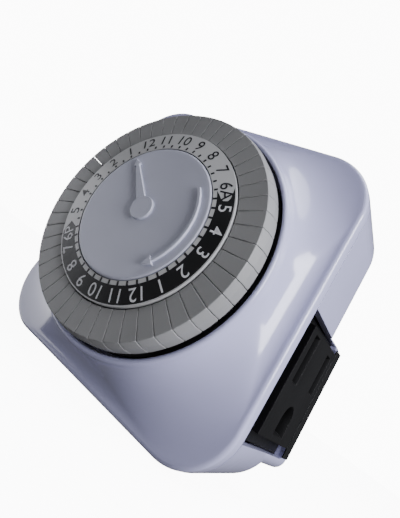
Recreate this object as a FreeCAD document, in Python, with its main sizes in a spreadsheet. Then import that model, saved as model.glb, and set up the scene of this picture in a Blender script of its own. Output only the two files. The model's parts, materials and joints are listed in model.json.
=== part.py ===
import FreeCAD, Part
import math
import os

from FreeCAD import Vector

# A mechanical plug in timer switch, in millimetres.
# The origin is the middle of the rear face that rests on the wall. X runs right as seen from
# the front, Y runs back towards the wall and Z runs up. Depths in the sheet count backwards
# from the plane of the dial's ticks.

driving = {
    # housing
    "totalDepth": 52.0, "halfWidth": 34.5, "cornerRound": 12.0, "wallThick": 1.8,
    "rimDepth": 15.5, "seamDepth": 18.5, "shoulderDepth": 38.3, "shoulderHalf": 33.4,
    "rearHalf": 25.0, "rearRound": 8.0, "collarBore": 27.4, "collarWall": 1.2,
    "collarDepth": 6.2, "floorDepth": 13.2, "floorThick": 1.5,
    # dial
    "pinCount": 48, "pinsPerHour": 2, "noonAngle": -38.7, "pinInner": 20.4, "pinTopOuter": 26.4,
    "pinOuter": 26.8, "pinTopDepth": 1.2, "pinBevelDepth": 3.6, "pinHeadDepth": 6.0,
    "stemInner": 21.3, "stemOuter": 25.5, "stemAngle": 4.4, "slitWidth": 0.35,
    "pinTravel": 2.4, "plateThick": 1.4, "runClear": 0.2, "ringInner": 15.5,
    "ringOuter": 20.13, "ringDrop": 0.68, "capRadius": 15.3, "capFront": 0.18,
    "hubRadius": 4.0, "shaftClear": 0.05,
    # gear train
    "gearModule": 0.8, "dialTeeth": 30, "pinionTeeth": 10, "wheelTeeth": 32, "motorTeeth": 8,
    "gearThick": 2.2, "trainAngle": 225.0, "motorAngle": 342.5, "arborRadius": 1.2,
    "motorRadius": 12.5, "motorLength": 15.0, "moveDepth": 20.0, "moveThick": 1.2,
    # outlet
    "outletFace": 33.0, "outletDepth": 36.1, "outletHeight": -5.1, "bladePitch": 12.7,
    "groundOffset": 11.9, "slotWidth": 2.4, "neutralSlot": 9.4, "lineSlot": 8.0,
    "groundSlot": 5.3, "recessRear": 46.3, "recessTop": 2.6, "recessBottom": -23.7,
    "faceFront": 23.4, "faceTop": 1.3, "faceBottom": -22.0, "faceRise": 1.5,
    "earTop": 4.0, "earBottom": -26.6, "earRear": 50.0, "earRound": 3.0, "fitGap": 0.15,
    # plug
    "bladeThick": 1.5, "neutralBlade": 7.9, "lineBlade": 6.3, "bladeReach": 16.0,
    "plugHeight": 3.0, "groundPin": 2.4, "groundNeck": 2.0, "groundStep": 0.3, "groundReach": 19.5,
    # lever, switch and rocker
    "leverRadius": 23.4, "leverPin": 11, "leverArm": 12.0, "leverThick": 1.5,
    "leverWidth": 2.6, "pivotRadius": 0.8, "buttonRadius": 0.9, "buttonArm": 8.0,
    "rockerLength": 14.0, "rockerWidth": 6.0, "rockerHeight": 15.0, "rockerDepth": 31.0,
    "rockerTilt": 6.0,
    # fasteners
    "screwX": 24.5, "screwZ": 28.0, "screwShank": 1.1, "screwHead": 2.2, "screwSeat": 30.0,
}

doc = FreeCAD.newDocument("plug_in_timer")
sheet = doc.addObject("Spreadsheet::Sheet", "dims")
for row, (word, number) in enumerate(driving.items(), start=1):
    sheet.set(f"A{row}", word)
    sheet.set(f"B{row}", str(number))
    sheet.setAlias(f"B{row}", word)
doc.recompute()


def size(word):
    return float(sheet.get(word))


# row Y of a depth behind the dial plane
def back(depth):
    return depth - size("totalDepth")


parts = []


# a solid worked out in code becomes a named sub-part
def keep(label, shape):
    item = doc.addObject("Part::Feature", label)
    item.Label = label
    item.Shape = shape
    parts.append(item)
    return item


# a primitive whose sizes and place are bound to the sheet
def primitive(kind, label, sizes, place, turn=None):
    item = doc.addObject("Part::" + kind, label)
    item.Label = label
    for name, rule in sizes.items():
        item.setExpression(name, rule)
    if turn:
        item.Placement = FreeCAD.Placement(Vector(), FreeCAD.Rotation(*turn))
    for letter, rule in zip("xyz", place):
        item.setExpression("Placement.Base." + letter, rule)
    return item


# a boolean of document objects becomes a named sub-part
def combine(kind, label, base, tools):
    result = base
    for number, tool in enumerate(tools, start=1):
        step = doc.addObject("Part::" + kind, f"{label}_{kind}_{number}")
        step.Base = result
        step.Tool = tool
        result = step
    result.Label = label
    return result


def box(x, y, z):
    low = Vector(min(x), min(y), min(z))
    return Part.makeBox(abs(x[1] - x[0]), abs(y[1] - y[0]), abs(z[1] - z[0]), low)


# a cylinder along Y between two depths
def rod(x, z, radius, front, rear):
    return Part.makeCylinder(radius, rear - front, Vector(x, back(front), z), Vector(0, 1, 0))


def tube(x, z, outer, inner, front, rear):
    return rod(x, z, outer, front, rear).cut(rod(x, z, inner, front, rear))


# a closed profile of (radius, depth) points turned about the dial axis
def turned(points, angle=360.0):
    corners = [Vector(radius, back(depth), 0) for radius, depth in points]
    face = Part.Face(Part.makePolygon(corners + corners[:1]))
    return face.revolve(Vector(), Vector(0, 1, 0), angle)


# place on the dial: clock angle from straight up, seen from the front
def clock(radius, angle, depth=0.0):
    turn = math.radians(angle)
    return Vector(radius * math.sin(turn), back(depth), radius * math.cos(turn))


def turnClock(shape, angle):
    copy = shape.copy()
    copy.rotate(Vector(), Vector(0, 1, 0), angle)
    return copy


# the outline of the housing at one depth: four sides and four round corners
def outline(half, corner, depth):
    flat = half - corner
    bulge = corner * math.sqrt(0.5)
    edges = []
    for quarter in range(4):
        turn = quarter * 90.0
        start = Vector(flat, 0, half)
        middle = Vector(flat + bulge, 0, flat + bulge)
        end = Vector(half, 0, flat)
        follow = Vector(half, 0, -flat)
        spin = FreeCAD.Rotation(Vector(0, 1, 0), turn)
        points = [spin.multVec(point) + Vector(0, back(depth), 0) for point in (start, middle, end, follow)]
        edges.append(Part.Arc(*points[:3]).toShape())
        edges.append(Part.LineSegment(points[2], points[3]).toShape())
    return Part.Wire(edges)


# housing, front half: a concave flare from the round collar to the square rim
flareSteps = 9


def flare(shrink):
    startHalf = size("collarBore") + size("collarWall") - shrink
    startCorner = startHalf - 0.6
    startDepth = size("collarDepth") + size("collarWall") + shrink
    sections = []
    for step in range(flareSteps):
        turn = math.pi / 2 * step / (flareSteps - 1)
        spread = 1 - math.cos(turn)
        half = startHalf + (size("halfWidth") - shrink - startHalf) * spread
        corner = startCorner + (size("cornerRound") - shrink - startCorner) * spread
        depth = startDepth + (size("rimDepth") + shrink - startDepth) * math.sin(turn)
        sections.append(outline(half, corner, depth))
    sections.append(outline(size("halfWidth") - shrink, size("cornerRound") - shrink, size("seamDepth")))
    return Part.makeLoft(sections, True, True)


wall = size("wallThick")
floorBack = size("floorDepth") + size("floorThick")
ringOut = size("collarBore") + size("collarWall")
hub = size("hubRadius")
arbor = size("arborRadius")
clear = size("shaftClear")

# the gear train's places, behind the dial
toothUnit = size("gearModule")
driveReach = toothUnit * (size("dialTeeth") + size("pinionTeeth")) / 2
driveAt = clock(driveReach, size("trainAngle"))
motorReach = toothUnit * (size("wheelTeeth") + size("motorTeeth")) / 2
motorAt = driveAt + clock(motorReach, size("motorAngle")) - clock(0, 0)

# the follower's nose stands between the stems of two pins
halfHour = 360.0 / size("pinCount")
noseAngle = size("noonAngle") + size("leverPin") * halfHour
noseAt = clock(size("leverRadius"), noseAngle)
pivotX = noseAt.x - size("leverArm")
pivotDepth = floorBack + size("pivotRadius") * 2 + 0.9
buttonX = pivotX + size("buttonArm")

moveFront = size("moveDepth")
moveBack = moveFront + size("moveThick")
plateScrew = 1.0
columnRadius = 3.2
postPlaces = [(-27.0, 20.0), (-28.5, -14.0), (2.0, -25.0), (25.0, 10.0)]
screwPlaces = [(sx * size("screwX"), sz * size("screwZ")) for sx in (-1, 1) for sz in (-1, 1)]


def frontCover():
    shell = flare(0).cut(flare(wall))
    lip = turned([
        (size("collarBore"), size("collarDepth") + 0.4),
        (size("collarBore") + 0.4, size("collarDepth")),
        (ringOut, size("collarDepth") + 0.3),
        (ringOut + 0.3, size("collarDepth") + 1.6),
        (ringOut + 0.3, size("floorDepth")),
        (ringOut + 0.3, floorBack),
        (size("collarBore"), floorBack),
    ])
    deck = rod(0, 0, size("collarBore") + 0.2, size("floorDepth"), floorBack)
    post = rod(0, 0, hub, size("capFront") + 1.9, size("floorDepth") + 0.2)
    well = rod(0, 0, size("collarBore"), 0, size("floorDepth"))
    shell = shell.cut(well).fuse([lip, deck, post])
    for x, z in postPlaces:
        shell = shell.fuse(rod(x, z, 2.2, floorBack - 0.5, moveFront))
    for x, z in screwPlaces:
        boss = rod(x, z, columnRadius, size("rimDepth") - 1.2, size("seamDepth"))
        shell = shell.fuse(boss.common(flare(wall / 2)))
    shell = shell.cut(rod(0, 0, hub / 2, size("capFront") + 1.0, floorBack + 1))
    shell = shell.cut(rod(driveAt.x, driveAt.z, arbor + clear, size("floorDepth") - 1, floorBack + 1))
    noseGap = 0.6
    window = box(
        (noseAt.x - 1.6 - noseGap, noseAt.x + 1.6 + noseGap),
        (back(size("floorDepth") - 1), back(floorBack + 1)),
        (noseAt.z - size("leverWidth") / 2 - noseGap, noseAt.z + size("leverWidth") / 2 + noseGap))
    shell = shell.cut(window)
    for x, z in postPlaces:
        shell = shell.cut(rod(x, z, plateScrew, moveFront - 2.0, moveFront + 1))
    for x, z in screwPlaces:
        shell = shell.cut(rod(x, z, size("screwShank"), size("rimDepth") + 0.6, size("seamDepth") + 1))
    return shell.removeSplitter()


# housing, rear half: straight to the shoulder, then tapered to the wall face
def rearBlock(shrink, front):
    shoulder = size("shoulderDepth")
    sections = [
        outline(size("halfWidth") - shrink, size("cornerRound") - shrink, front),
        outline(size("shoulderHalf") - shrink, size("cornerRound") - shrink, shoulder),
        outline(size("rearHalf") - shrink, size("rearRound") - shrink * 0.7, size("totalDepth") - shrink),
    ]
    return Part.makeLoft(sections, True, True)


def roundedBox(x, y, z, radius):
    block = box(x, y, z)
    along = [edge for edge in block.Edges if abs(edge.tangentAt(edge.FirstParameter).y) > 0.9]
    return block.makeFillet(radius, along)


def rearCover():
    seam = size("seamDepth")
    outer = rearBlock(0, seam)
    faceX = size("outletFace")
    ear = roundedBox(
        (12.0, faceX + 0.3), (back(seam + 1), back(size("earRear"))),
        (size("earBottom"), size("earTop")), size("earRound"))
    outer = outer.fuse(ear)
    shell = outer.cut(rearBlock(wall, seam - 0.01))
    inner = roundedBox(
        (10.5, faceX - 1.5), (back(seam - 1), back(size("earRear") - wall)),
        (size("earBottom") + wall, size("earTop") - wall), 1.0)
    shell = shell.cut(inner)
    # the outlet's seat, open to the side
    gap = size("fitGap")
    seat = box(
        (10.5, 40.0), (back(seam - 1), back(size("recessRear") + gap)),
        (size("recessBottom") - gap, size("recessTop") + gap))
    shell = shell.cut(seat)
    for x, z in screwPlaces:
        column = rod(x, z, columnRadius, seam, size("totalDepth")).common(rearBlock(wall / 2, seam))
        column = column.cut(seat)
        shell = shell.fuse(column)
    for x, z in screwPlaces:
        shell = shell.cut(rod(x, z, size("screwShank"), seam - 1, size("screwSeat") + 1))
        shell = shell.cut(rod(x, z, size("screwHead") + 0.3, size("screwSeat"), size("totalDepth") + 1))
    # openings for the plug's blades and pin
    pitch = size("bladePitch") / 2
    high = size("plugHeight")
    for side, tall in ((-1, size("neutralBlade")), (1, size("lineBlade"))):
        half = size("bladeThick") / 2
        shell = shell.cut(box(
            (side * pitch - half, side * pitch + half), (back(size("totalDepth") - 6), 1.0),
            (high - tall / 2, high + tall / 2)))
    pinZ = high - size("groundOffset")
    shell = shell.cut(rod(0, pinZ, size("groundNeck"), size("totalDepth") - 6, size("totalDepth") + 1))
    shell = shell.cut(rod(0, pinZ, size("groundPin") + size("shaftClear"),
                          size("totalDepth") - size("groundStep"), size("totalDepth") + 1))
    # rocker opening with the two pivot holes
    long = size("rockerLength") / 2 + 0.4
    wide = size("rockerWidth") / 2 + 0.3
    mid = back(size("rockerDepth"))
    shell = shell.cut(box(
        (-40.0, -30.0), (mid - wide, mid + wide),
        (size("rockerHeight") - long, size("rockerHeight") + long)))
    pivot = Part.makeCylinder(0.65, 2 * wide + 2.6, Vector(rockerX(), mid - wide - 1.3, size("rockerHeight")),
                              Vector(0, 1, 0))
    shell = shell.cut(pivot)
    return shell.removeSplitter()


# the left wall leans in towards the back, so the rocker's axis lies in the middle of it
def rockerX():
    run = (size("rockerDepth") - size("seamDepth")) / (size("shoulderDepth") - size("seamDepth"))
    face = size("halfWidth") + (size("shoulderHalf") - size("halfWidth")) * run
    return -(face - wall / 2)


keep("front_cover", frontCover())
keep("rear_cover", rearCover())


# the outlet insert: a block in the housing's side with a raised face, slots and contact wells
outX = size("outletFace")
outY = back(size("outletDepth"))
outZ = size("outletHeight")
pitchHalf = size("bladePitch") / 2
wellFront = 29.5
wellRear = 14.0
slots = [(-1, size("neutralSlot")), (1, size("lineSlot"))]


def outletInsert():
    base = box(
        (12.0, outX - size("faceRise")), (back(size("seamDepth")), back(size("recessRear"))),
        (size("recessBottom"), size("recessTop")))
    face = box(
        (20.0, outX), (back(size("faceFront")), back(size("recessRear"))),
        (size("faceBottom"), size("faceTop")))
    rims = [edge for edge in face.Edges if abs(edge.CenterOfMass.x - outX) < 0.01]
    insert = base.fuse(face.makeFillet(0.5, rims))
    half = size("slotWidth") / 2
    for side, tall in slots:
        middle = outY + side * pitchHalf
        insert = insert.cut(box(
            (wellRear, outX + 1), (middle - half, middle + half), (outZ - tall / 2, outZ + tall / 2)))
        insert = insert.cut(box(
            (11.0, wellFront), (middle - 2.2, middle + 2.2), (outZ - tall / 2 - 0.4, outZ + tall / 2 + 0.4)))
    ground = outZ - size("groundOffset")
    round_ = size("groundSlot") / 2
    hole = Part.makeCylinder(round_, outX + 1 - wellRear, Vector(wellRear, outY, ground), Vector(1, 0, 0))
    hole = hole.fuse(box((wellRear, outX + 1), (outY - round_, outY + round_), (ground - round_, ground)))
    insert = insert.cut(hole)
    insert = insert.cut(Part.makeCylinder(3.6, wellFront - 1.5 - 11.0, Vector(11.0, outY, ground), Vector(1, 0, 0)))
    return insert.removeSplitter()


keep("outlet_insert", outletInsert())

# blades, pin and the contacts they feed
brass = 0.5
bladeFoot = 41.0
high = size("plugHeight")
for name, side, tall in (("neutral_blade", -1, "neutralBlade"), ("line_blade", 1, "lineBlade")):
    primitive(
        "Box", name,
        {"Length": "dims.bladeThick", "Width": f"dims.bladeReach + dims.totalDepth - {bladeFoot}",
         "Height": f"dims.{tall}"},
        [f"{side} * dims.bladePitch / 2 - dims.bladeThick / 2", f"{bladeFoot} - dims.totalDepth",
         f"dims.plugHeight - dims.{tall} / 2"])
pinNeck = primitive(
    "Cylinder", "ground_pin_neck",
    {"Radius": "dims.groundNeck", "Height": f"dims.groundStep + dims.totalDepth - {bladeFoot}"},
    ["0", f"{bladeFoot} - dims.totalDepth", "dims.plugHeight - dims.groundOffset"], (Vector(1, 0, 0), -90))
pinBody = primitive(
    "Cylinder", "ground_pin_shank",
    {"Radius": "dims.groundPin", "Height": "dims.groundReach - dims.groundPin - dims.groundStep"},
    ["0", "dims.groundStep", "dims.plugHeight - dims.groundOffset"], (Vector(1, 0, 0), -90))
pinNose = primitive(
    "Sphere", "ground_pin_nose", {"Radius": "dims.groundPin"},
    ["0", "dims.groundReach - dims.groundPin", "dims.plugHeight - dims.groundOffset"])
groundPin = combine("Fuse", "ground_pin", pinBody, [pinNose, pinNeck])


def clip(side, tall):
    middle = outY + side * pitchHalf
    outer = box((15.0, 28.5), (middle - 2.0, middle + 2.0), (outZ - tall / 2, outZ + tall / 2))
    return outer.cut(box((15.0 + brass, 29.0), (middle - 1.3, middle + 1.3), (outZ - tall, outZ + tall)))


def neutralContact():
    middle = outY - pitchHalf
    tall = size("neutralSlot")
    shape = clip(-1, tall)
    stem = box((10.6, 15.0 + brass), (middle - 1.0, middle + 1.0), (outZ - 1.5, outZ + 1.5))
    drop = box((10.6, 10.6 + brass), (middle - 1.0, back(bladeFoot)), (outZ - 1.5, outZ + 1.5))
    cross = box(
        (-pitchHalf - 1.0, 10.6 + brass), (back(bladeFoot) - brass, back(bladeFoot)), (outZ - 1.5, outZ + 1.5))
    rise = box(
        (-pitchHalf - 1.0, -pitchHalf + 1.5), (back(bladeFoot) - brass, back(bladeFoot)), (outZ - 1.5, high + 2))
    return shape.fuse([stem, drop, cross, rise]).removeSplitter()


def groundContact():
    ground = outZ - size("groundOffset")
    outer = Part.makeCylinder(3.3, 12.0, Vector(15.0, outY, ground), Vector(1, 0, 0))
    shape = outer.cut(Part.makeCylinder(2.6, 12.0, Vector(15.5, outY, ground), Vector(1, 0, 0)))
    stem = box((8.6, 15.5), (outY - 1.0, outY + 1.0), (ground - 1.5, ground + 1.5))
    drop = box((8.6, 9.1), (outY - 1.0, back(bladeFoot)), (ground - 1.5, ground + 1.5))
    pinZ = high - size("groundOffset")
    cross = box((-1.5, 9.1), (back(bladeFoot) - brass, back(bladeFoot)), (ground - 1.5, ground + 1.5))
    rise = box((-1.5, 1.5), (back(bladeFoot) - brass, back(bladeFoot)), (ground - 1.5, pinZ + 1.5))
    return shape.fuse([stem, drop, cross, rise]).removeSplitter()


switchBack = moveBack + 8.0
switchTop = noseAt.z + 4.0
switchLow = noseAt.z - 4.0
switchLeft = buttonX - 5.0


def loadContact():
    middle = outY + pitchHalf
    tall = size("lineSlot")
    shape = clip(1, tall)
    stem = box((11.1, 15.5), (middle - 1.0, middle + 1.0), (outZ - 1.5, outZ + 1.5))
    rise = box((11.1, 11.6), (middle - 1.0, middle + 1.0), (outZ - 1.5, switchTop - 2))
    reach = box((11.1, 11.6), (back(switchBack), middle + 1.0), (switchLow + 2, switchTop - 2))
    return shape.fuse([stem, rise, reach]).removeSplitter()


def lineStrap():
    foot = box(
        (pitchHalf - 1.0, switchLeft), (back(bladeFoot) - brass, back(bladeFoot)),
        (high - 2.5, switchTop - 2))
    reach = box(
        (switchLeft - brass, switchLeft), (back(switchBack - 3), back(bladeFoot)), (switchLow + 2, switchTop - 2))
    return foot.fuse(reach).removeSplitter()


keep("neutral_contact", neutralContact())
keep("load_contact", loadContact())
keep("ground_contact", groundContact())
keep("line_strap", lineStrap())


# a spur gear about the Y axis; the first tooth points at the given clock angle
def gear(at, teeth, front, rear, firstTooth, bore=0.0):
    unit = size("gearModule")
    pitch = unit * teeth / 2
    base = pitch * math.cos(math.radians(20))
    tip = pitch + unit * 0.92
    root = pitch - unit * 1.2
    slack = 0.06

    def flank(radius):
        turn = math.sqrt(max((radius / base) ** 2 - 1, 0))
        return turn - math.atan(turn)

    halfTooth = math.pi / 2 / teeth - slack / pitch + flank(pitch)
    points = []
    for tooth in range(teeth):
        middle = math.radians(firstTooth) + 2 * math.pi * tooth / teeth
        start = max(base, root)
        radii = [start + (tip - start) * share for share in (0, 0.35, 0.7, 1)]
        left = [(radius, middle - halfTooth + flank(radius)) for radius in radii]
        right = [(radius, middle + halfTooth - flank(radius)) for radius in reversed(radii)]
        points += [(root, middle - halfTooth)] + left + right + [(root, middle + halfTooth)]
    corners = [
        Vector(at.x + radius * math.sin(turn), back(front), at.z + radius * math.cos(turn))
        for radius, turn in points
    ]
    solid = Part.Face(Part.makePolygon(corners + corners[:1])).extrude(Vector(0, rear - front, 0))
    if bore:
        solid = solid.cut(rod(at.x, at.z, bore, front - 1, rear + 1))
    return solid


# dial wheel: hub sleeve, web, drum under the numeral ring, slotted pin plate and gear
plateFront = size("pinHeadDepth") + size("pinTravel") + size("runClear")
plateBack = plateFront + size("plateThick")
drumOuter = size("pinInner") - size("runClear")
ringBack = size("ringDrop") + 1.0


def dialWheel():
    bore = hub + clear
    shape = turned([
        (bore, ringBack + 0.9), (hub + 2.4, ringBack + 0.9), (hub + 2.4, plateFront),
        (drumOuter - 1.4, plateFront), (drumOuter - 1.4, ringBack), (drumOuter, ringBack),
        (drumOuter, plateFront), (size("pinOuter") - 0.2, plateFront), (size("pinOuter") - 0.2, plateBack),
        (hub + 2.4, plateBack), (hub + 2.4, size("floorDepth") - 0.3), (bore, size("floorDepth") - 0.3),
    ])
    teeth = gear(Vector(), int(size("dialTeeth")), plateBack - 0.2, plateBack + size("gearThick"),
                 size("trainAngle"), hub + 1.0)
    shape = shape.fuse(teeth)
    gaps = []
    for index in range(int(size("pinCount"))):
        middle = size("noonAngle") + (index + 0.5) * halfHour
        gaps.append(wedge(size("stemInner") - 0.1, size("stemOuter") + 0.1, size("stemAngle") + 0.5,
                          plateFront - 1, plateBack + 1, middle))
    return shape.cut(gaps).removeSplitter()


# a block between two radii that spans an angle
def wedge(inner, outer, span, front, rear, middle):
    half = math.radians(span / 2)
    low = [Vector(radius * math.sin(turn), back(front), radius * math.cos(turn))
           for radius, turn in ((inner, -half), (outer, -half), (outer, half), (inner, half))]
    outerMid = Vector(0, back(front), outer)
    edges = [
        Part.LineSegment(low[0], low[1]).toShape(), Part.Arc(low[1], outerMid, low[2]).toShape(),
        Part.LineSegment(low[2], low[3]).toShape(), Part.LineSegment(low[3], low[0]).toShape(),
    ]
    solid = Part.Face(Part.Wire(edges)).extrude(Vector(0, rear - front, 0))
    return turnClock(solid, middle)


# one trip pin: a wedge head with a bevelled rim and a stem through the wheel's plate
def tripPin(middle):
    headBack = size("pinHeadDepth")
    span = halfHour
    profile = [
        (size("pinInner"), size("pinTopDepth")), (size("pinTopOuter"), size("pinTopDepth")),
        (size("pinOuter"), size("pinBevelDepth")), (size("pinOuter"), headBack),
        (size("pinInner"), headBack),
    ]
    corners = [Vector(0, back(depth), radius) for radius, depth in profile]
    face = Part.Face(Part.makePolygon(corners + corners[:1]))
    head = face.revolve(Vector(), Vector(0, 1, 0), span)
    head = turnClock(head, -span / 2)
    half = size("slitWidth") / 2
    for side in (-1, 1):
        cutter = Part.makeBox(4, 20, 40, Vector(-half if side > 0 else half - 4, back(-5), 0))
        head = head.cut(turnClock(cutter, side * span / 2))
    stem = wedge(size("stemInner"), size("stemOuter"), size("stemAngle"), headBack - 0.5,
                 plateBack + 0.5, 0)
    return turnClock(head.fuse(stem).removeSplitter(), middle)


keep("dial_wheel", dialWheel())
ringProfile = [
    (size("ringInner"), 0), (size("ringOuter"), size("ringDrop")), (size("ringOuter"), ringBack),
    (size("ringInner"), ringBack),
]
keep("numeral_ring", turned(ringProfile))

perNode = int(size("pinsPerHour"))
hours = int(size("pinCount")) // perNode
for hour in range(hours):
    pins = []
    for place in range(perNode):
        middle = size("noonAngle") + (hour * perNode + place + 0.5) * halfHour
        pins.append(tripPin(middle))
    keep(f"trip_pins_{hour + 1:02d}", Part.makeCompound(pins))


# centre cap with its raised pointer and turning arrow
capBack = ringBack + 0.2
raised = 0.45
pointerAngle = size("noonAngle") - 8.8


def flatShape(points, front, rear):
    corners = [Vector(x, back(front), z) for x, z in points]
    return Part.Face(Part.makePolygon(corners + corners[:1])).extrude(Vector(0, rear - front, 0))


def centreCap():
    radius = size("capRadius")
    front = -size("capFront")
    cap = turned([(0, front), (radius - 0.5, front), (radius, front + 0.4), (radius, capBack), (0, capBack)])
    boss = rod(0, 0, hub - 0.2, capBack - 0.1, size("capFront") + 1.9)
    stub = rod(0, 0, hub / 2, capBack, floorBack)
    pointer = flatShape(
        [(-1.0, 1.0), (-0.3, 10.6), (-1.2, 10.4), (0, 14.2), (1.2, 10.4), (0.3, 10.6), (1.0, 1.0), (0, -1.0)],
        front - raised, front + 0.1)
    disc = rod(0, 0, 2.6, front - raised, front + 0.1)
    arcInner = 12.6
    arcOuter = 13.4
    ring = tube(0, 0, arcOuter, arcInner, front - raised, front + 0.1)
    sweep = wedge(8.0, 15.0, 84.0, front - 1, front + 1, size("noonAngle") + 128.0)
    arrow = flatShape([(-1.4, 0), (1.4, 0), (0, 3.4)], front - raised, front + 0.1)
    arrow.rotate(Vector(), Vector(0, 1, 0), 90)
    arrow.translate(Vector(0, 0, (arcInner + arcOuter) / 2))
    arrow = turnClock(arrow, size("noonAngle") + 170.0)
    return cap.fuse([boss, stub, turnClock(pointer, pointerAngle), disc, ring.common(sweep), arrow]).removeSplitter()


keep("centre_cap", centreCap())

# movement plate with bearing holes, and the motor behind it
buttonClear = size("buttonRadius") + clear


def movementPlate():
    left = box((-30.0, 4.0), (back(moveFront), back(moveBack)), (-27.5, 22.5))
    top = box((-30.0, 28.5), (back(moveFront), back(moveBack)), (5.0, 22.5))
    plate = left.fuse(top)
    plate = plate.cut(rod(driveAt.x, driveAt.z, arbor + clear, moveFront - 1, moveBack + 1))
    plate = plate.cut(rod(motorAt.x, motorAt.z, 3.4, moveFront - 1, moveBack + 1))
    plate = plate.cut(rod(buttonX, noseAt.z, buttonClear, moveFront - 1, moveBack + 1))
    for side in (-1, 1):
        near = noseAt.z + side * (size("leverWidth") / 2 + 0.2)
        lug = box((pivotX - 1.6, pivotX + 1.6), (back(pivotDepth - 1.4), back(moveFront)), (near, near + side * 1.2))
        plate = plate.fuse(lug)
    for x, z in postPlaces:
        plate = plate.cut(rod(x, z, plateScrew, moveFront - 1, moveBack + 1))
    for x, z in screwPlaces:
        plate = plate.cut(rod(x, z, columnRadius + 0.5, moveFront - 1, moveBack + 1))
    pin = Part.makeCylinder(size("pivotRadius"), 20, Vector(pivotX, back(pivotDepth), noseAt.z - 10))
    return plate.cut(pin).removeSplitter()


keep("movement_plate", movementPlate())


def plateScrews():
    return Part.makeCompound([
        rod(x, z, plateScrew, moveFront - 1.8, moveBack).fuse(
            rod(x, z, 1.9, moveBack, moveBack + 1.2)).removeSplitter()
        for x, z in postPlaces])


keep("plate_screws", plateScrews())
primitive("Cylinder", "lever_pivot_pin", {"Radius": "dims.pivotRadius", "Height": "dims.leverWidth + 2.8"},
          [str(pivotX), str(back(pivotDepth)), f"{noseAt.z} - dims.leverWidth / 2 - 1.4"])

motorRear = moveBack + size("motorLength")


def motorCase():
    case = tube(motorAt.x, motorAt.z, size("motorRadius"), size("motorRadius") - 0.8, moveBack, motorRear)
    front = tube(motorAt.x, motorAt.z, size("motorRadius"), 1.3, moveBack, moveBack + 0.8)
    rear = tube(motorAt.x, motorAt.z, size("motorRadius"), arbor + clear, motorRear - 0.8, motorRear)
    return case.fuse([front, rear]).removeSplitter()


keep("motor_case", motorCase())
keep("motor_coil", tube(motorAt.x, motorAt.z, size("motorRadius") - 0.8, 6.0, moveBack + 0.8, motorRear - 0.8))

wheelFront = floorBack + 0.9
wheelBack = wheelFront + size("gearThick")
pairStep = 360.0 / size("motorTeeth")


def motorRotor():
    at = motorAt
    pinion = gear(at, int(size("motorTeeth")), wheelFront, wheelBack + 0.6,
                  size("motorAngle") + 180.0 + pairStep / 2)
    shaft = rod(at.x, at.z, arbor, wheelFront, motorRear)
    magnet = rod(at.x, at.z, 5.4, moveBack + 1.2, motorRear - 1.2)
    return pinion.fuse([shaft, magnet]).removeSplitter()


def driveShaft():
    at = driveAt
    wheel = gear(at, int(size("wheelTeeth")), wheelFront, wheelBack, size("motorAngle"))
    shaft = rod(at.x, at.z, arbor, plateBack + 0.4, moveBack + 0.3)
    step = 360.0 / size("pinionTeeth")
    pinion = gear(at, int(size("pinionTeeth")), plateBack + 0.4, plateBack + size("gearThick"),
                  size("trainAngle") + 180.0 + step / 2)
    return wheel.fuse([shaft, pinion]).removeSplitter()


keep("motor_rotor", motorRotor())
keep("drive_gear", driveShaft())


# follower lever: barrel on the pivot, arm and a nose through the window in the floor
def followerLever():
    half = size("leverWidth") / 2
    barrel = Part.makeCylinder(size("pivotRadius") * 2, size("leverWidth"),
                               Vector(pivotX, back(pivotDepth), noseAt.z - half))
    front = pivotDepth - size("pivotRadius") * 2
    arm = box((pivotX, noseAt.x + 0.9), (back(front), back(front + size("leverThick"))),
              (noseAt.z - half, noseAt.z + half))
    tip = plateBack + 0.8
    nose = box((noseAt.x - 0.45, noseAt.x + 0.45), (back(tip), back(front + 0.2)),
               (noseAt.z - 0.45, noseAt.z + 0.45))
    lever = barrel.fuse([arm, nose])
    bore = Part.makeCylinder(size("pivotRadius") + clear, 20, Vector(pivotX, back(pivotDepth), noseAt.z - 10))
    return lever.cut(bore).removeSplitter()


keep("follower_lever", followerLever())

# switch body behind the plate, its button and the leaf that returns the lever
buttonFront = pivotDepth - size("pivotRadius") * 2 + size("leverThick") + 0.3


def switchBody():
    body = box((switchLeft, buttonX + 5.5), (back(moveBack), back(switchBack)), (switchLow, switchTop))
    return body.cut(rod(buttonX, noseAt.z, 2.0, moveBack, moveBack + 5.0))


keep("switch_body", switchBody())
button = rod(buttonX, noseAt.z, size("buttonRadius"), buttonFront, moveBack + 0.8)
button = button.fuse(rod(buttonX, noseAt.z, 1.7, moveBack + 0.3, moveBack + 1.6)).removeSplitter()
keep("switch_button", button)


def leverSpring():
    coilX = buttonX + 2.6
    turns = 4
    wire = 0.2
    front = pivotDepth - size("pivotRadius") * 2 + size("leverThick") + wire
    rise = (moveFront - front - wire) / turns
    helix = Part.makeHelix(rise, rise * turns, 0.9)
    start = helix.Vertexes[0].Point
    profile = Part.Wire(Part.makeCircle(wire, start, Vector(0, 1, rise / (2 * math.pi * 0.9))))
    coil = Part.Wire(helix).makePipeShell([profile], True, True)
    coil.rotate(Vector(), Vector(1, 0, 0), -90)
    coil.translate(Vector(coilX, back(front), noseAt.z))
    return coil


keep("lever_spring", leverSpring())


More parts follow.
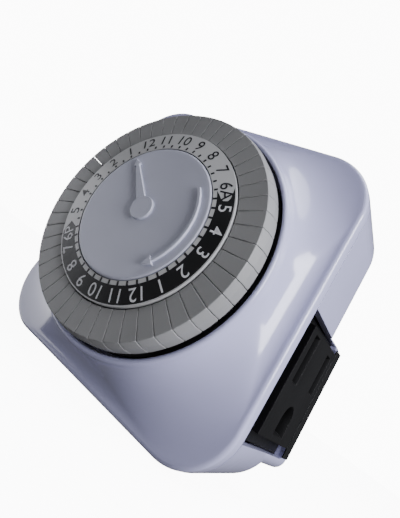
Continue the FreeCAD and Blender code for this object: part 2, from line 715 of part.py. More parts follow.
# override rocker in the left wall, tipped to its timer end
def overrideRocker():
    axis = Vector(rockerX(), back(size("rockerDepth")), size("rockerHeight"))
    half = size("rockerWidth") / 2
    long = size("rockerLength") / 2
    points = [(-1.9, -long), (-1.2, 0), (-1.9, long), (1.6, long - 2.0), (2.2, 0), (1.6, -long + 2.0)]
    corners = [Vector(axis.x + x, axis.y - half, axis.z + z) for x, z in points]
    body = Part.Face(Part.makePolygon(corners + corners[:1])).extrude(Vector(0, 2 * half, 0))
    trunnion = Part.makeCylinder(0.6, 2 * half + 2.4, axis - Vector(0, half + 1.2, 0), Vector(0, 1, 0))
    rocker = body.fuse(trunnion).removeSplitter()
    rocker.rotate(axis, Vector(0, 1, 0), -size("rockerTilt"))
    return rocker


keep("override_rocker", overrideRocker())


def housingScrews():
    screws = []
    for x, z in screwPlaces:
        shank = rod(x, z, size("screwShank"), size("rimDepth") + 0.6, size("screwSeat"))
        head = rod(x, z, size("screwHead"), size("screwSeat"), size("screwSeat") + 1.6)
        slot = box((x - 0.3, x + 0.3), (back(size("screwSeat") + 1.0), back(size("screwSeat") + 2)), (z - 3, z + 3))
        screws.append(shank.fuse(head).cut(slot).removeSplitter())
    return Part.makeCompound(screws)


keep("housing_screws", housingScrews())

doc.recompute()
named = ["neutral_blade", "line_blade", "ground_pin", "lever_pivot_pin"]
parts += [item for item in doc.Objects if item.Label in named]
for item in doc.Objects:
    if "Invalid" in item.State or "Error" in item.State:
        raise SystemExit(f"{item.Label}: {item.State}")
for item in parts:
    if item.Shape.isNull() or not item.Shape.isValid():
        raise SystemExit(f"{item.Label}: its shape isn't valid")

os.makedirs("parts", exist_ok=True)
for item in parts:
    item.Shape.exportStep(f"parts/{item.Label}.step")
    print(f"{item.Label}: {len(item.Shape.Solids)} solid, {item.Shape.Volume:.1f} mm3")
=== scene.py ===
import bpy, bmesh
import json
from math import sin, cos, pi, radians, sqrt, tan
from mathutils import Vector, Matrix


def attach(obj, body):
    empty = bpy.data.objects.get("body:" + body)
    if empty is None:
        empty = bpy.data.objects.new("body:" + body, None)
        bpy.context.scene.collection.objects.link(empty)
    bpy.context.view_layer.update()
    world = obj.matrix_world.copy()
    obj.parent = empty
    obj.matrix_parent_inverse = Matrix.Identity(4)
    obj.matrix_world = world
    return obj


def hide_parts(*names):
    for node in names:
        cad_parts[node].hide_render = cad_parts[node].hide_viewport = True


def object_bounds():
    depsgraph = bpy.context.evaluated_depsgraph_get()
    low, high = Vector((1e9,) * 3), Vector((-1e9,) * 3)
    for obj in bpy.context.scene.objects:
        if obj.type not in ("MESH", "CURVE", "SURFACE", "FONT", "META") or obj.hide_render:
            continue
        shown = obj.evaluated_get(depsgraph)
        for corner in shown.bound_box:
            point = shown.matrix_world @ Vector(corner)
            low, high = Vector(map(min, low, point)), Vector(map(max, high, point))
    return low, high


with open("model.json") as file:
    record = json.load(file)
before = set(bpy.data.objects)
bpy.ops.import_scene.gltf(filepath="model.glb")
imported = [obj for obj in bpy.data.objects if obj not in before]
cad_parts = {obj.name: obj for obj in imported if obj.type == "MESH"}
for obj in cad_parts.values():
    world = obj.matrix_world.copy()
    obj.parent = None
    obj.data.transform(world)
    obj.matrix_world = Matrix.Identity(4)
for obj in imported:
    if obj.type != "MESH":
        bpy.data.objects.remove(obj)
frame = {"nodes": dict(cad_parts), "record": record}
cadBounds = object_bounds()
nodes = frame["nodes"]
mm = 0.001

print("frame loaded,", len(nodes), "nodes")

# sizes shared by the pieces, in millimetres; depths count back from the dial's tick plane
timer = {
    "depth": 52.0,
    "halfWidth": 34.5,
    "corner": 12.0,
    "noon": -38.7,       # clock angle of the noon tick, in degrees
    "hours": 24,
    "pinsPerHour": 2,
}


def atDepth(x, depth, z):
    return Vector((x, depth - timer["depth"], z)) * mm


def onDial(radius, angle, depth):
    turn = radians(angle)
    return atDepth(radius * sin(turn), depth, radius * cos(turn))


# Camera, as the photograph was taken: from the outlet's side, rolled well over
cameraView = {
    "place": (64.46, -118.66, -15.47),        # millimetres
    "right": (0.73332, 0.38643, 0.55938),
    "ahead": (-0.62165, 0.71428, 0.32149),
    "focalPixels": 452.9,
    "longSide": 518, "shortSide": 400,
    "axisColumn": 205.6, "axisRow": 163.1,    # the optical axis: the photograph is a crop
    "sensor": 36.0,                           # millimetres
    "nearest": 0.005, "farthest": 5.0,        # metres
}


def makeCamera():
    info = cameraView
    camData = bpy.data.cameras.new("cameraData")
    cam = bpy.data.objects.new("camera", camData)
    bpy.context.scene.collection.objects.link(cam)
    right = Vector(info["right"]).normalized()
    back = -Vector(info["ahead"]).normalized()
    up = back.cross(right).normalized()
    turn = Matrix((right, up, back)).transposed().to_4x4()
    cam.matrix_world = Matrix.Translation(Vector(info["place"]) * mm) @ turn
    camData.sensor_width = info["sensor"]
    camData.lens = info["focalPixels"] * info["sensor"] / info["longSide"]
    camData.shift_x = (info["shortSide"] / 2 - info["axisColumn"]) / info["longSide"]
    camData.shift_y = (info["axisRow"] - info["longSide"] / 2) / info["longSide"]
    camData.clip_start, camData.clip_end = info["nearest"], info["farthest"]
    bpy.context.scene.camera = cam
    print("camera set, lens", round(camData.lens, 1))


makeCamera()


# Finishes. Each one mottles its colour a little and breaks up the gloss; most also round their edges.
# grain is how fine the marks are, and edge is the radius in millimetres that an edge seems to have
finishes = {
    "housing_shell": dict(color=(0.58, 0.58, 0.85), rough=0.2, coat=0.6,
                          mottle=0.03, grain=900, bump=0.02, edge=0.25),
    "cap_white": dict(color=(0.57, 0.58, 0.69), rough=0.34, coat=0.12,
                      mottle=0.03, grain=1400, bump=0.05, edge=0.0),
    "pin_grey": dict(color=(0.285, 0.285, 0.285), rough=0.4,
                     mottle=0.14, grain=700, bump=0.1, edge=0.14),
    "ring_print": dict(color=(0.55, 0.55, 0.55), rough=0.38, coat=0.1,
                       mottle=0.05, grain=900, bump=0.04, edge=0.1),
    "wheel_grey": dict(color=(0.03, 0.03, 0.032), rough=0.5,
                       mottle=0.1, grain=700, bump=0.08, edge=0.1),
    "outlet_black": dict(color=(0.006, 0.006, 0.0065), rough=0.45, shine=0.22,
                         mottle=0.2, grain=1600, bump=0.09, edge=0.15),
    "rocker_black": dict(color=(0.012, 0.012, 0.013), rough=0.35, shine=0.35,
                         mottle=0.2, grain=1200, bump=0.06, edge=0.2),
    "contact_brass": dict(color=(0.78, 0.68, 0.48), rough=0.28, metal=1.0,
                          mottle=0.1, grain=800, bump=0.05, edge=0.08),
    "plug_metal": dict(color=(0.8, 0.74, 0.6), rough=0.24, metal=1.0,
                       mottle=0.08, grain=900, bump=0.05, edge=0.15),
    "steel": dict(color=(0.62, 0.62, 0.64), rough=0.32, metal=1.0,
                  mottle=0.08, grain=900, bump=0.06, edge=0.1),
    "gear_nylon": dict(color=(0.8, 0.79, 0.72), rough=0.45,
                       mottle=0.05, grain=700, bump=0.05, edge=0.1),
    "coil_copper": dict(color=(0.6, 0.24, 0.1), rough=0.35, metal=1.0,
                        mottle=0.2, grain=2500, bump=0.3, edge=0.05),
    "switch_black": dict(color=(0.02, 0.02, 0.02), rough=0.5,
                         mottle=0.2, grain=900, bump=0.08, edge=0.1),
    "night_print": dict(color=(0.012, 0.012, 0.013), rough=0.42, shine=0.3,
                        mottle=0.5, grain=500, bump=0.05, edge=0.0),
    "light_print": dict(color=(0.72, 0.72, 0.74), rough=0.45,
                        mottle=0.06, grain=900, bump=0.02, edge=0.0),
    "dark_print": dict(color=(0.018, 0.018, 0.02), rough=0.45, shine=0.3,
                       mottle=0.1, grain=900, bump=0.02, edge=0.0),
}

# what every finish shares
surface = {
    "metal": 0.0, "coat": 0.0, "shine": 0.5,    # where a finish names none of its own
    "coatRough": 0.08,
    "detail": 4.0, "broadness": 14,             # the mottling is this much broader than the grain
    "mottleFrom": 0.3, "mottleTo": 0.7,
    "smoothest": 0.85, "roughest": 1.2,         # shares of the finish's roughness
    "bumpHeight": 0.1, "edgeSamples": 4,
}


def makeFinish(name):
    info = {**surface, **finishes[name]}
    mat = bpy.data.materials.new(name)
    mat.use_nodes = True
    tree = mat.node_tree
    shader = tree.nodes["Principled BSDF"]
    shader.inputs["Metallic"].default_value = info["metal"]
    shader.inputs["Coat Weight"].default_value = info["coat"]
    shader.inputs["Coat Roughness"].default_value = info["coatRough"]
    shader.inputs["Specular IOR Level"].default_value = info["shine"]
    place = tree.nodes.new("ShaderNodeTexCoord")
    noise = tree.nodes.new("ShaderNodeTexNoise")
    noise.inputs["Scale"].default_value = info["grain"]
    noise.inputs["Detail"].default_value = info["detail"]
    tree.links.new(place.outputs["Object"], noise.inputs["Vector"])
    broad = tree.nodes.new("ShaderNodeTexNoise")
    broad.inputs["Scale"].default_value = info["grain"] / info["broadness"]
    tree.links.new(place.outputs["Object"], broad.inputs["Vector"])
    ramp = tree.nodes.new("ShaderNodeValToRGB")
    low, high = ramp.color_ramp.elements
    low.position, high.position = info["mottleFrom"], info["mottleTo"]
    low.color = [c * (1 - info["mottle"]) for c in info["color"]] + [1]
    high.color = [min(c * (1 + info["mottle"]), 1) for c in info["color"]] + [1]
    tree.links.new(broad.outputs["Fac"], ramp.inputs["Fac"])
    tree.links.new(ramp.outputs["Color"], shader.inputs["Base Color"])
    gloss = tree.nodes.new("ShaderNodeMapRange")
    gloss.inputs["To Min"].default_value = info["rough"] * info["smoothest"]
    gloss.inputs["To Max"].default_value = info["rough"] * info["roughest"]
    tree.links.new(noise.outputs["Fac"], gloss.inputs["Value"])
    tree.links.new(gloss.outputs["Result"], shader.inputs["Roughness"])
    bump = tree.nodes.new("ShaderNodeBump")
    bump.inputs["Strength"].default_value = info["bump"]
    bump.inputs["Distance"].default_value = info["bumpHeight"] * mm
    tree.links.new(noise.outputs["Fac"], bump.inputs["Height"])
    if info["edge"]:
        soft = tree.nodes.new("ShaderNodeBevel")
        soft.samples = info["edgeSamples"]
        soft.inputs["Radius"].default_value = info["edge"] * mm
        tree.links.new(soft.outputs["Normal"], bump.inputs["Normal"])
    tree.links.new(bump.outputs["Normal"], shader.inputs["Normal"])
    return mat


finish = {name: makeFinish(name) for name in finishes}
slotOf = {part["node"]: part["material_slot"] for part in frame["record"]["subparts"]}
for name, node in nodes.items():
    node.data.materials.clear()
    node.data.materials.append(finish[slotOf[name]])
print("finishes made,", len(finish))


# Mesh helpers; an edge that turns more than the sharp angle, in degrees, is shaded as a corner
meshing = {"weld": 1e-7, "sharp": 40}


def addPiece(name, verts, faces, body, material, sharp=meshing["sharp"]):
    mesh = bpy.data.meshes.new(name)
    mesh.from_pydata([tuple(v) for v in verts], [], faces)
    bm = bmesh.new()
    bm.from_mesh(mesh)
    bmesh.ops.remove_doubles(bm, verts=bm.verts, dist=meshing["weld"])
    bmesh.ops.recalc_face_normals(bm, faces=bm.faces)
    for face in bm.faces:
        face.smooth = True
    for edge in bm.edges:
        edge.smooth = len(edge.link_faces) == 2 and edge.calc_face_angle(0) < radians(sharp)
    bm.to_mesh(mesh)
    bm.free()
    mesh.materials.append(finish[material])
    piece = bpy.data.objects.new(name, mesh)
    bpy.context.scene.collection.objects.link(piece)
    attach(piece, body)
    return piece


# distance from the axis to a rounded square's outline
def squareReach(turn, half, corner):
    folded = turn % (pi / 2)
    folded = min(folded, pi / 2 - folded)
    flat = half - corner
    if tan(folded) * half <= flat:
        return half / cos(folded)
    along = flat * (cos(folded) + sin(folded))
    return along + sqrt(along * along - 2 * flat * flat + corner * corner)


# a skin over rounded squares, from half width, corner radius and depth; a circle's two radii are alike
def stationMesh(name, stations, samples, body, material, sharp=meshing["sharp"]):
    verts, faces = [], []
    for half, corner, depth in stations:
        for step in range(samples):
            turn = 2 * pi * step / samples
            reach = squareReach(turn, half, corner)
            verts.append(atDepth(reach * sin(turn), depth, reach * cos(turn)))
    for row in range(len(stations) - 1):
        for step in range(samples):
            after = (step + 1) % samples
            a, b = row * samples, (row + 1) * samples
            faces.append((a + step, a + after, b + after, b + step))
    return addPiece(name, verts, faces, body, material, sharp)


def softenEdges(piece, width, segments, angle):
    soft = piece.modifiers.new("softEdge", "BEVEL")
    soft.width = width * mm
    soft.segments = segments
    soft.limit_method = "ANGLE"
    soft.angle_limit = radians(angle)


# Front cover: well, rounded lip, concave flare, rim edge and side wall down to the seam
frontShell = {
    "wellRadius": 27.4, "floorDepth": 13.2, "postRadius": 4.2,
    "lipDepth": 6.2, "lipRound": 0.55,
    "flareHalf": 28.55, "flareFlat": 0.1, "flareDepth": 7.3,    # flareFlat keeps the collar just off round
    "rimDepth": 15.5, "rimRound": 0.9, "seamDepth": 18.5, "seamRound": 0.18, "inset": 1.8,
    "lipSteps": 8, "flareSteps": 28, "rimSteps": 6, "samples": 320,
}


def makeFrontShell():
    info = frontShell
    well, lip = info["wellRadius"], info["lipRound"]
    stations = [(info["postRadius"], info["floorDepth"]), (well, info["floorDepth"])]
    for step in range(info["lipSteps"] + 1):
        turn = pi * step / info["lipSteps"]
        stations.append((well + lip * (1 - cos(turn)), info["lipDepth"] + lip * (1 - sin(turn))))
    stations = [(radius, radius, depth) for radius, depth in stations]
    half, corner = timer["halfWidth"], timer["corner"]
    edge, edgeCorner = half - info["rimRound"], corner - info["rimRound"]
    collar = info["flareHalf"]
    collarCorner = collar - info["flareFlat"]
    fall = info["rimDepth"] - info["flareDepth"]
    for step in range(info["flareSteps"] + 1):
        turn = pi / 2 * step / info["flareSteps"]
        spread = 1 - cos(turn)
        stations.append((collar + (edge - collar) * spread,
                         collarCorner + (edgeCorner - collarCorner) * spread,
                         info["flareDepth"] + fall * sin(turn)))
    for step in range(1, info["rimSteps"] + 1):
        turn = pi / 2 * step / info["rimSteps"]
        grow = info["rimRound"] * sin(turn)
        stations.append((edge + grow, edgeCorner + grow,
                         info["rimDepth"] + info["rimRound"] * (1 - cos(turn))))
    seam, inset = info["seamRound"], info["inset"]
    stations.append((half, corner, info["seamDepth"] - seam))
    stations.append((half - seam, corner - seam, info["seamDepth"]))
    stations.append((half - inset, corner - inset, info["seamDepth"]))
    piece = stationMesh("frontShell", stations, info["samples"], "housing",
                        "housing_shell")
    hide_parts("front_cover")
    print("front shell,", len(piece.data.polygons), "faces")


makeFrontShell()


# Trip pins: two to an hour, each a wedge with a soft bevelled rim and a stem behind
pinShape = {
    "inner": 20.4, "topOuter": 26.25, "outer": 26.8, "top": 1.2, "shoulder": 3.3, "rear": 6.0,
    "slit": 0.08, "arcSteps": 4, "sharp": 12,
    "edge": 0.13, "edgeSteps": 2, "edgeAngle": 20,
    "stemInner": 21.3, "stemOuter": 25.5, "stemFront": 6.02, "stemRear": 10.5,
    "stemHalf": 2.0,    # degrees
}


# sweeps a profile of radius and depth round the dial, half the slit short of either side
def addWedge(verts, faces, profile, halfAngle, slit, middle, arcSteps):
    first, count = len(verts), len(profile)
    far = first + arcSteps * count
    for step in range(arcSteps + 1):
        for radius, depth in profile:
            half = halfAngle - slit / 2 / radius * 180 / pi
            verts.append(onDial(radius, middle - half + 2 * half * step / arcSteps, depth))
    for step in range(arcSteps):
        for index in range(count):
            a, b = first + step * count, first + (step + 1) * count
            after = (index + 1) % count
            faces.append((a + index, a + after, b + after, b + index))
    faces.append(tuple(range(first, first + count)))
    faces.append(tuple(range(far + count - 1, far - 1, -1)))


def makePins():
    info = pinShape
    inner, outer = info["inner"], info["outer"]
    head = [(inner, info["top"]), (info["topOuter"], info["top"]), (outer, info["shoulder"]),
            (outer, info["rear"]), (inner, info["rear"])]
    stem = [(info["stemInner"], info["stemFront"]), (info["stemOuter"], info["stemFront"]),
            (info["stemOuter"], info["stemRear"]), (info["stemInner"], info["stemRear"])]
    perHour = timer["pinsPerHour"]
    span = 360.0 / (timer["hours"] * perHour)
    for hour in range(timer["hours"]):
        verts, faces = [], []
        for pin in range(perHour):
            middle = timer["noon"] + (hour * perHour + pin + 0.5) * span
            addWedge(verts, faces, head, span / 2, info["slit"], middle, info["arcSteps"])
            addWedge(verts, faces, stem, info["stemHalf"], 0.0, middle, 1)
        piece = addPiece(f"tripPins{hour + 1:02d}", verts, faces, f"hour_{hour + 1:02d}",
                         "pin_grey", info["sharp"])
        softenEdges(piece, info["edge"], info["edgeSteps"], info["edgeAngle"])
        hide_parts(f"trip_pins_{hour + 1:02d}")
    print("trip pins modelled")


makePins()


# Outlet insert: base, raised face, lip over the ear, and three holes with flared mouths.
# A block is its span in x, depth and z, and a hole opens along x
outletShape = {
    "base": ((12.0, 31.5), (18.5, 46.3), (-23.7, 2.6)),
    "face": ((20.0, 33.5), (25.4, 46.2), (-21.4, 1.1)),
    "lip": ((33.33, 33.6), (46.0, 49.7), (-23.4, 2.2)),
    "holes": [    # long and wide are half sizes, long along z
        dict(depth=29.75, height=-5.1, long=4.7, wide=1.2, round=False),
        dict(depth=42.45, height=-5.1, long=4.0, wide=1.2, round=False),
        dict(depth=36.1, height=-17.0, long=2.65, wide=2.65, round=True),
    ],
    "flare": 0.6, "flareDeep": 1.1, "flareFree": 0.1,
    "bottom": 14.0, "well": 29.5, "wellBottom": 11.0, "wellExtra": 0.9,
    "arcSteps": 16, "sharp": 30,
}


def hullPiece(points):
    bm = bmesh.new()
    for point in points:
        bm.verts.new(point)
    bmesh.ops.convex_hull(bm, input=bm.verts)
    bmesh.ops.recalc_face_normals(bm, faces=bm.faces)
    mesh = bpy.data.meshes.new("hull")
    bm.to_mesh(mesh)
    bm.free()
    holder = bpy.data.objects.new("hull", mesh)
    bpy.context.scene.collection.objects.link(holder)
    return holder


def blockPiece(block):
    xs, depths, zs = block
    return hullPiece([atDepth(x, depth, z) for x in xs for depth in depths for z in zs])


def holeSection(x, hole, extra):
    long, wide = hole["long"] + extra, hole["wide"] + extra
    steps = outletShape["arcSteps"]
    points = [(-wide, -long), (wide, -long)]
    if hole["round"]:
        turns = [pi * step / steps for step in range(steps + 1)]
        points += [(long * cos(turn), long * sin(turn)) for turn in turns]
    else:
        points += [(-wide, long), (wide, long)]
    return [atDepth(x, hole["depth"] + across, hole["height"] + up) for across, up in points]


def carve(target, tool, operation):
    cut = target.modifiers.new("cut", "BOOLEAN")
    cut.operation, cut.solver, cut.object = operation, "EXACT", tool
    bpy.context.view_layer.update()
    mesh = bpy.data.meshes.new_from_object(target.evaluated_get(bpy.context.evaluated_depsgraph_get()))
    target.modifiers.clear()
    target.data = mesh
    bpy.data.objects.remove(tool)


def makeOutlet():
    info = outletShape
    top = info["face"][0][1]
    body = blockPiece(info["base"])
    for block in ("face", "lip"):
        carve(body, blockPiece(info[block]), "UNION")
    for hole in info["holes"]:
        # the flared mouth, the bore and the wider well behind it
        for near, nearExtra, far, farExtra in (
                (top + info["flareFree"], info["flare"], top - info["flareDeep"], 0.0),
                (top, 0.0, info["bottom"], 0.0),
                (info["well"], info["wellExtra"], info["wellBottom"], info["wellExtra"])):
            tool = hullPiece(holeSection(near, hole, nearExtra) + holeSection(far, hole, farExtra))
            carve(body, tool, "DIFFERENCE")
    verts = [vert.co.copy() for vert in body.data.vertices]
    faces = [tuple(face.vertices) for face in body.data.polygons]
    piece = addPiece("outletInsert", verts, faces, "housing", "outlet_black", info["sharp"])
    bpy.data.objects.remove(body)
    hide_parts("outlet_insert")
    print("outlet modelled,", len(piece.data.polygons), "faces")


makeOutlet()


# Printing on the numeral ring: night band, ticks and numerals. Angles run clockwise from the noon tick
ringPrint = {
    "inner": 15.5, "outer": 20.13, "drop": 0.68,
    "tickInner": 15.75, "tickOuter": 16.5, "tickHalf": 0.22,
    "nightInner": 16.35, "nightOuter": 19.85, "nightTickInner": 15.55, "nightTickOuter": 16.45,
    "dawn": 91.2, "dusk": 270.5,                                # where the night band starts and ends
    "dawnChevron": 8.6, "duskChevron": 6.5,                     # how far its ends are bent, in degrees
    "dawnFlat": 1.7,                                            # over 1, the bend has a flat middle
    "bandRows": 8, "bandColumns": 170,
    "lift": 0.02, "tickLift": 0.03, "digitLift": 0.04,          # the print lies this much over the ring
    "digitRadius": 18.05, "digitSize": 3.7125, "digitBold": 0.008, "digitSteps": 4,
    "dawnHour": 6, "dawnShift": 2.5, "duskHour": 18, "duskShift": -3.0,
}


def ringDepth(radius, lift):
    info = ringPrint
    return (radius - info["inner"]) / (info["outer"] - info["inner"]) * info["drop"] - lift


def onRing(radius, angle, lift):
    return onDial(radius, timer["noon"] + angle, ringDepth(radius, lift))


def makeNightBand():
    info = ringPrint
    rows, columns = info["bandRows"], info["bandColumns"]
    middle = (info["nightInner"] + info["nightOuter"]) / 2
    reach = (info["nightOuter"] - info["nightInner"]) / 2
    verts, faces = [], []
    for row in range(rows + 1):
        radius = info["nightInner"] + 2 * reach * row / rows
        inward = 1 - abs(radius - middle) / reach
        dawn = info["dawn"] + info["dawnChevron"] * min(1, info["dawnFlat"] * inward)
        dusk = info["dusk"] + info["duskChevron"] * inward
        for column in range(columns + 1):
            verts.append(onRing(radius, dawn + (dusk - dawn) * column / columns, info["lift"]))
    for row in range(rows):
        for column in range(columns):
            a = row * (columns + 1) + column
            faces.append((a, a + 1, a + columns + 2, a + columns + 1))
    addPiece("nightBand", verts, faces, "dial", "night_print")


def makeTicks():
    info = ringPrint
    verts, faces = [], []
    ticks = timer["hours"] * timer["pinsPerHour"]
    for index in range(ticks):
        angle = index * 360.0 / ticks
        night = info["dawn"] < angle < info["dusk"]
        inner = info["nightTickInner"] if night else info["tickInner"]
        outer = info["nightTickOuter"] if night else info["tickOuter"]
        for radius in (inner, outer):
            half = info["tickHalf"] / radius * 180 / pi
            for side in (-1, 1):
                verts.append(onRing(radius, angle + side * half, info["tickLift"]))
        a = index * 4
        faces.append((a, a + 1, a + 3, a + 2))
    addPiece("hourTicks", verts, faces, "dial", "dark_print")


def textMesh(words):
    info = ringPrint
    curve = bpy.data.curves.new("letters", "FONT")
    curve.body = words
    curve.size = info["digitSize"] * mm
    curve.align_x, curve.align_y = "CENTER", "CENTER"
    curve.resolution_u = info["digitSteps"]
    curve.offset = info["digitBold"] * mm
    holder = bpy.data.objects.new("letters", curve)
    bpy.context.scene.collection.objects.link(holder)
    bpy.context.view_layer.update()
    mesh = bpy.data.meshes.new_from_object(holder.evaluated_get(bpy.context.evaluated_depsgraph_get()))
    bpy.data.objects.remove(holder)
    return mesh


def placeWords(bm, words, angle):
    info = ringPrint
    mesh = textMesh(words)
    turn = radians(timer["noon"] + angle)
    right = Vector((cos(turn), 0, -sin(turn)))
    slope = info["drop"] / (info["outer"] - info["inner"])
    up = Vector((sin(turn), slope, cos(turn))).normalized()
    front = right.cross(up)
    place = onRing(info["digitRadius"], angle, info["digitLift"])
    move = Matrix.Translation(place) @ Matrix((right, up, front)).transposed().to_4x4()
    mesh.transform(move)
    bm.from_mesh(mesh)
    bpy.data.meshes.remove(mesh)


def makeNumerals():
    info = ringPrint
    dark, light = bmesh.new(), bmesh.new()
    noon = timer["hours"] // 2
    for hour in range(timer["hours"]):
        angle = hour * 360.0 / timer["hours"]
        night = info["dawn"] < angle < info["dusk"]
        if hour == info["dawnHour"]:
            placeWords(dark, "6A", angle + info["dawnShift"])
        elif hour == info["duskHour"]:
            placeWords(light, "6P", angle + info["duskShift"])
        else:
            placeWords(light if night else dark, str(noon - hour % noon), angle)
    for name, bm, material in (("dayNumerals", dark, "dark_print"),
                               ("nightNumerals", light, "light_print")):
        mesh = bpy.data.meshes.new(name)
        bm.to_mesh(mesh)
        bm.free()
        mesh.materials.append(finish[material])
        piece = bpy.data.objects.new(name, mesh)
        bpy.context.scene.collection.objects.link(piece)
        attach(piece, "dial")


makeNightBand()
makeTicks()
makeNumerals()
print("ring printed")


# Centre cap: a dished disc with a soft rim, a raised pointer and a raised arrow for the turning way
capShape = {
    "radius": 15.3, "front": -0.18, "rear": 1.88,
    "middle": 0.001, "dish": 0.12, "dishRadius": 13.1, "slopeRadius": 14.0, "slopeDish": 0.06,
    "rimRound": 0.5, "rimSteps": 6, "samples": 160, "sharp": 50,
    "raise": 0.6, "lower": 0.08, "sink": 0.2,    # what is raised, and how deep it is set in
    "edge": 0.14, "edgeSteps": 3, "edgeAngle": 30, "reliefSharp": 30,
    "hubRadius": 2.65, "hubSteps": 40, "pointerAngle": -8.8,
    "pointer": [(-1.15, 0.8), (-0.42, 12.0), (-0.9, 12.1), (0.0, 13.9),
                (0.9, 12.1), (0.42, 12.0), (1.15, 0.8)],
    "arcInner": 12.5, "arcOuter": 13.15, "arcFrom": 85.0, "arcTo": 168.0, "arcSteps": 40,
    "arrowLong": 1.9, "arrowBack": 0.3, "arrowHalf": 1.05,
}


def onCap(x, depth, z, angle):
    turn = radians(timer["noon"] + angle)
    return atDepth(x * cos(turn) + z * sin(turn), depth, -x * sin(turn) + z * cos(turn))


# a raised form from its outline; lower keeps its top under the one that it runs into
def addRelief(name, outline, angle, lower=0.0):
    info = capShape
    top = info["front"] - info["raise"] + lower
    bottom = info["front"] + info["sink"]
    count = len(outline)
    verts = [onCap(x, depth, z, angle) for depth in (top, bottom) for x, z in outline]
    faces = [tuple(range(count)), tuple(range(2 * count - 1, count - 1, -1))]
    for step in range(count):
        after = (step + 1) % count
        faces.append((step, after, after + count, step + count))
    piece = addPiece(name, verts, faces, "housing", "cap_white", info["reliefSharp"])
    softenEdges(piece, info["edge"], info["edgeSteps"], info["edgeAngle"])


# a point of the cap at a radius and a clock angle in radians
def polar(radius, turn):
    return radius * sin(turn), radius * cos(turn)


def makeCapDisc():
    info = capShape
    front, radius, rim = info["front"], info["radius"], info["rimRound"]
    profile = [(info["middle"], front + info["dish"]), (info["dishRadius"], front + info["dish"]),
               (info["slopeRadius"], front + info["slopeDish"])]
    for step in range(info["rimSteps"] + 1):
        turn = pi / 2 * step / info["rimSteps"]
        profile.append((radius - rim + rim * sin(turn), front + rim * (1 - cos(turn))))
    profile += [(radius, info["rear"]), (info["middle"], info["rear"])]
    stations = [(reach, reach, depth) for reach, depth in profile]
    disc = stationMesh("capDisc", stations, info["samples"], "housing",
                       "cap_white", info["sharp"])
    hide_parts("centre_cap")


def makePointer():
    info = capShape
    steps = info["hubSteps"]
    addRelief("pointerHub", [polar(info["hubRadius"], 2 * pi * step / steps) for step in range(steps)], 0.0)
    addRelief("pointerHand", info["pointer"], info["pointerAngle"], info["lower"])


def makeTurnArrow():
    info = capShape
    steps = info["arcSteps"]
    sweep = info["arcTo"] - info["arcFrom"]
    turns = [radians(info["arcFrom"] + sweep * step / steps) for step in range(steps + 1)]
    band = [polar(info["arcOuter"], turn) for turn in turns]
    band += [polar(info["arcInner"], turn) for turn in reversed(turns)]
    addRelief("turnArc", band, 0.0, info["lower"])
    middle = (info["arcInner"] + info["arcOuter"]) / 2
    half, tip = info["arrowHalf"], radians(info["arcTo"])
    head = []
    for along, across in ((-info["arrowBack"], -half), (-info["arrowBack"], half), (info["arrowLong"], 0.0)):
        reach = middle + across
        head.append((reach * sin(tip) + along * cos(tip), reach * cos(tip) - along * sin(tip)))
    addRelief("turnArrow", head, 0.0)


makeCapDisc()
makePointer()
makeTurnArrow()
print("cap modelled")


# Studio, in metres: pale floor, white surroundings, and soft light from overhead, from a window on the
# outlet's side and, weaker, from the other side
studio = {
    "floorSize": 12.0, "floorDrop": 0.0003,
    "floorColor": (0.93, 0.93, 0.94), "floorRough": 0.9, "floorGlow": 10.0,
    "ambient": 0.14, "roomColor": (0.95, 0.96, 1.0), "backdrop": 11.5,
    "overhead": dict(direction=(-0.2, 0.05, -1.0), power=1.9, spread=40.0, color=(0.9, 0.93, 1.0)),
    "window": dict(place=(0.5, -0.1, 0.13), size=0.28, power=4.6),
    "fill": dict(place=(-0.44, -0.17, -0.09), size=0.4, power=1.5),
    "aim": (0.0, -0.03, 0.0), "lampColor": (0.93, 0.94, 1.0),
}


def aimLight(light, toward):
    light.rotation_mode = "QUATERNION"
    light.rotation_quaternion = Vector(toward).to_track_quat("-Z", "Y")
    bpy.context.scene.collection.objects.link(light)


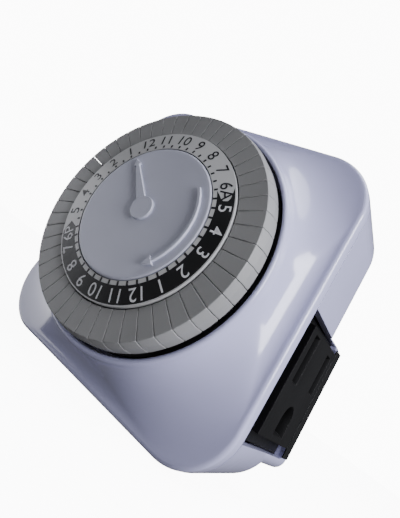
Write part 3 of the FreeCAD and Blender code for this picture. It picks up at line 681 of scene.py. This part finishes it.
def makeLights():
    info = studio["overhead"]
    sunData = bpy.data.lights.new("overhead", "SUN")
    sunData.energy, sunData.color = info["power"], info["color"]
    sunData.angle = radians(info["spread"])
    aimLight(bpy.data.objects.new("overhead", sunData), info["direction"])
    for name in ("window", "fill"):
        info = studio[name]
        lampData = bpy.data.lights.new(name, "AREA")
        lampData.size, lampData.energy = info["size"], info["power"]
        lampData.color = studio["lampColor"]
        lamp = bpy.data.objects.new(name, lampData)
        lamp.location = info["place"]
        aimLight(lamp, Vector(studio["aim"]) - Vector(info["place"]))


def makeFloor():
    info = studio
    bpy.ops.mesh.primitive_plane_add(size=info["floorSize"])
    floor = bpy.context.object
    floor.name = "floor"
    floor.location.z = cadBounds[0].z - info["floorDrop"]
    paper = bpy.data.materials.new("paper")
    paper.use_nodes = True
    shader = paper.node_tree.nodes["Principled BSDF"]
    shader.inputs["Base Color"].default_value = (*info["floorColor"], 1)
    shader.inputs["Roughness"].default_value = info["floorRough"]
    shader.inputs["Emission Color"].default_value = (1, 1, 1, 1)
    shader.inputs["Emission Strength"].default_value = info["floorGlow"]
    floor.data.materials.append(paper)
    floor.visible_diffuse = False    # it lights nothing, so the underside stays as dark as photographed
    floor.visible_glossy = False


# the camera sees a white backdrop, while the object is lit by the dimmer room
def makeRoom():
    info = studio
    world = bpy.data.worlds.new("room")
    world.use_nodes = True
    bpy.context.scene.world = world
    tree = world.node_tree
    room = tree.nodes["Background"]
    room.inputs["Color"].default_value = (*info["roomColor"], 1)
    room.inputs["Strength"].default_value = info["ambient"]
    seen = tree.nodes.new("ShaderNodeBackground")
    seen.inputs["Color"].default_value = (1, 1, 1, 1)
    seen.inputs["Strength"].default_value = info["backdrop"]
    path = tree.nodes.new("ShaderNodeLightPath")
    mix = tree.nodes.new("ShaderNodeMixShader")
    tree.links.new(path.outputs["Is Camera Ray"], mix.inputs[0])
    tree.links.new(room.outputs[0], mix.inputs[1])
    tree.links.new(seen.outputs[0], mix.inputs[2])
    tree.links.new(mix.outputs[0], tree.nodes["World Output"].inputs["Surface"])


makeFloor()
makeRoom()
makeLights()
print("studio set")
